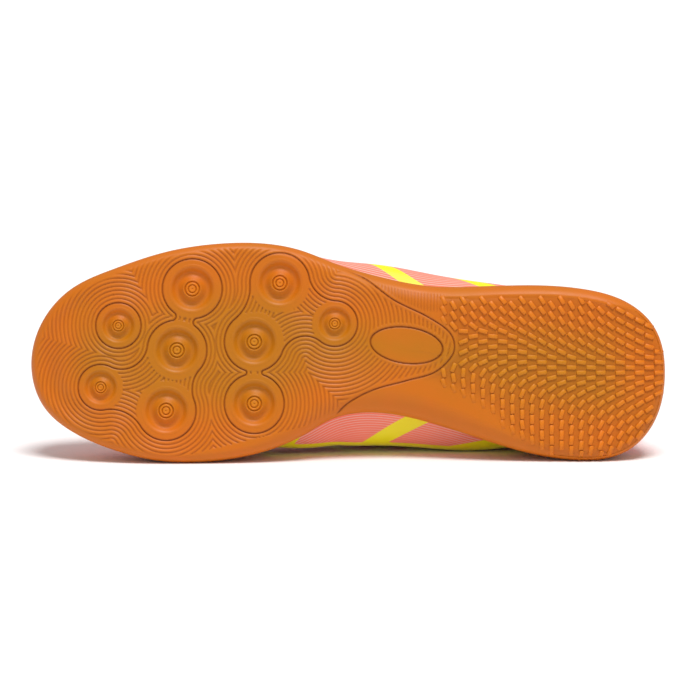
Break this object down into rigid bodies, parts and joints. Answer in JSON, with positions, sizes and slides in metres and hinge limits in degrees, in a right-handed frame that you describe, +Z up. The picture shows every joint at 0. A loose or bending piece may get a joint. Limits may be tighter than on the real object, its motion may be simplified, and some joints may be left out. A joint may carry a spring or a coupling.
{
  "type": "indoor soccer shoe",
  "caption": "Left low-cut indoor soccer shoe on its side: gum rubber cup sole with round pivot pods, coral textile upper, padded collar, tongue and lace.",
  "frame": {"origin": "bottom centre of the shoe's box as it lies on its medial side", "axes": "+X runs from the toe to the heel, -Y is the side that the tread faces, tipped up by about 8 degrees of lean, and +Z is up, towards the shoe's lateral side"},
  "size_m": [0.29, 0.0956, 0.0991],
  "materials": {
    "gum_rubber": "moulded gum rubber, warm amber, satin",
    "coral_textile": "coated coral textile with fine pale lines, matt",
    "sock_liner": "brushed textile over foam, matt",
    "tongue_mesh": "padded mesh, matt",
    "lace_weave": "woven lace, matt"
  },
  "bodies": {
    "root": {"outsole": "gum_rubber", "upper": "coral_textile", "insole": "sock_liner", "tongue": "tongue_mesh", "lace": "lace_weave"}
  },
  "joints": []
}
